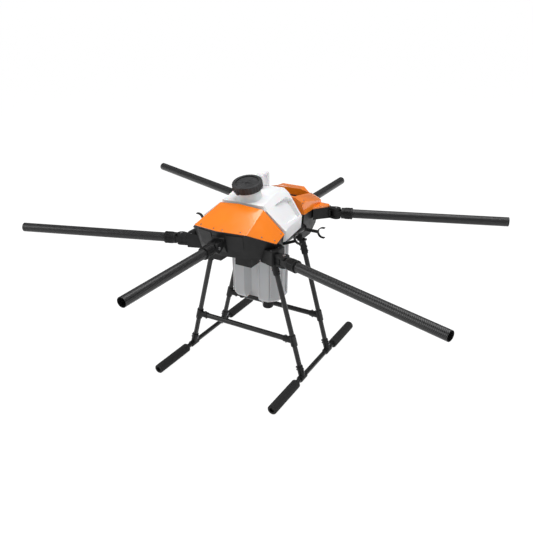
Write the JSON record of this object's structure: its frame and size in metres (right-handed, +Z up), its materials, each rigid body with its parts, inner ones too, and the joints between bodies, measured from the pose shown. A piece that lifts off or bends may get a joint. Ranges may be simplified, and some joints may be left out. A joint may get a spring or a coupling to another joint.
{
  "type": "agricultural spray drone airframe",
  "caption": "Folding six-arm spray drone airframe with a lift-out liquid tank, screw-on filler cap, battery bay and tubular skid landing gear.",
  "frame": {"origin": "on the ground under the middle of the frame, between the skids", "axes": "+Z up, -Y towards the nose, and +X towards the side that its names call right, which is on the right when the frame is seen from in front of its nose"},
  "size_m": [1.9452, 1.756, 0.8718],
  "materials": {
    "carbon_tube": "gloss woven carbon fibre",
    "black_nylon": "satin moulded nylon",
    "black_rubber": "matt",
    "black_foam": "matt closed-cell foam",
    "orange_gloss": "gloss moulded shell",
    "tank_plastic": "translucent moulded polyethylene",
    "steel": "satin"
  },
  "bodies": {
    "airframe": {"front_chassis": "black_nylon", "rear_chassis": "black_nylon", "electronics_tray": "black_nylon", "battery_tray": "black_nylon", "arm_clip_left": "black_nylon", "arm_clip_right": "black_nylon", "chassis_beam_left": "carbon_tube", "chassis_beam_right": "carbon_tube", "crossbar_front": "carbon_tube", "crossbar_rear": "carbon_tube", "skid_left": "carbon_tube", "skid_right": "carbon_tube", "leg_front_right": "carbon_tube", "leg_front_left": "carbon_tube", "leg_rear_right": "carbon_tube", "leg_rear_left": "carbon_tube", "front_hood": "orange_gloss", "rear_hood": "orange_gloss", "foam_foot_front_right": "black_foam", "foam_foot_front_left": "black_foam", "foam_foot_rear_right": "black_foam", "foam_foot_rear_left": "black_foam", "arm_root_nose": "black_nylon", "fold_pin_nose": "steel", "arm_root_tail": "black_nylon", "fold_pin_tail": "steel", "arm_root_front_right": "black_nylon", "fold_pin_front_right": "steel", "arm_root_front_left": "black_nylon", "fold_pin_front_left": "steel", "arm_root_rear_right": "black_nylon", "fold_pin_rear_right": "steel", "arm_root_rear_left": "black_nylon", "fold_pin_rear_left": "steel"},
    "arm_nose": {"arm_knuckle_nose": "black_nylon", "arm_tube_nose": "carbon_tube"},
    "collar_nose": {"lock_collar_nose": "black_nylon"},
    "arm_tail": {"arm_knuckle_tail": "black_nylon", "arm_tube_tail": "carbon_tube"},
    "collar_tail": {"lock_collar_tail": "black_nylon"},
    "arm_front_right": {"arm_knuckle_front_right": "black_nylon", "arm_tube_front_right": "carbon_tube"},
    "collar_front_right": {"lock_collar_front_right": "black_nylon"},
    "arm_front_left": {"arm_knuckle_front_left": "black_nylon", "arm_tube_front_left": "carbon_tube"},
    "collar_front_left": {"lock_collar_front_left": "black_nylon"},
    "arm_rear_right": {"arm_knuckle_rear_right": "black_nylon", "arm_tube_rear_right": "carbon_tube"},
    "collar_rear_right": {"lock_collar_rear_right": "black_nylon"},
    "arm_rear_left": {"arm_knuckle_rear_left": "black_nylon", "arm_tube_rear_left": "carbon_tube"},
    "collar_rear_left": {"lock_collar_rear_left": "black_nylon"},
    "tank_unit": {"tank": "tank_plastic", "tank_handle": "tank_plastic", "tank_outlet": "black_nylon", "drain_plug": "black_nylon", "filler_strainer": "black_nylon", "lid_gasket": "black_rubber"},
    "lid": {"filler_lid": "black_nylon"},
    "cap_ring": {"filler_ring": "black_nylon"}
  },
  "joints": [
    {"name": "fold_nose", "type": "hinge", "parent": "airframe", "child": "arm_nose", "pos_m": [0, -0.36, 0.656], "axis": [1, 0, 0], "range_deg": [0, 90]},
    {"name": "unlock_nose", "type": "slide", "parent": "arm_nose", "child": "collar_nose", "axis": [0, -1, 0], "range_m": [0, 0.03]},
    {"name": "fold_tail", "type": "hinge", "parent": "airframe", "child": "arm_tail", "pos_m": [0, 0.327, 0.606], "axis": [-1, 0, 0], "range_deg": [0, 90]},
    {"name": "unlock_tail", "type": "slide", "parent": "arm_tail", "child": "collar_tail", "axis": [0, 1, 0], "range_m": [0, 0.03]},
    {"name": "fold_front_right", "type": "hinge", "parent": "airframe", "child": "arm_front_right", "pos_m": [0.252, -0.2463, 0.606], "axis": [0, 0, 1], "range_deg": [0, 108.7]},
    {"name": "unlock_front_right", "type": "slide", "parent": "arm_front_right", "child": "collar_front_right", "axis": [0.9472, -0.3206, 0], "range_m": [0, 0.03]},
    {"name": "fold_front_left", "type": "hinge", "parent": "airframe", "child": "arm_front_left", "pos_m": [-0.252, -0.2463, 0.606], "axis": [0, 0, -1], "range_deg": [0, 108.7]},
    {"name": "unlock_front_left", "type": "slide", "parent": "arm_front_left", "child": "collar_front_left", "axis": [-0.9472, -0.3206, 0], "range_m": [0, 0.03]},
    {"name": "fold_rear_right", "type": "hinge", "parent": "airframe", "child": "arm_rear_right", "pos_m": [0.252, 0.2388, 0.656], "axis": [0, 0, -1], "range_deg": [0, 109.7]},
    {"name": "unlock_rear_right", "type": "slide", "parent": "arm_rear_right", "child": "collar_rear_right", "axis": [0.9415, 0.3371, 0], "range_m": [0, 0.03]},
    {"name": "fold_rear_left", "type": "hinge", "parent": "airframe", "child": "arm_rear_left", "pos_m": [-0.252, 0.2388, 0.656], "axis": [0, 0, 1], "range_deg": [0, 109.7]},
    {"name": "unlock_rear_left", "type": "slide", "parent": "arm_rear_left", "child": "collar_rear_left", "axis": [-0.9415, 0.3371, 0], "range_m": [0, 0.03]},
    {"name": "tank_lift", "type": "slide", "parent": "airframe", "child": "tank_unit", "axis": [0, 0, 1], "range_m": [0, 0.38]},
    {"name": "lid_lift", "type": "slide", "parent": "tank_unit", "child": "lid", "axis": [0, -0.2215, 0.9751], "range_m": [0, 0.006]},
    {"name": "ring_turn", "type": "hinge", "parent": "lid", "child": "cap_ring", "pos_m": [0, -0.1068, 0.84665], "axis": [0, -0.2215, 0.9751], "range_deg": [0, 120]}
  ],
  "couplings": [
    {"joint": "lid_lift", "follows": "ring_turn", "m_per_rad": 0.00286}
  ]
}
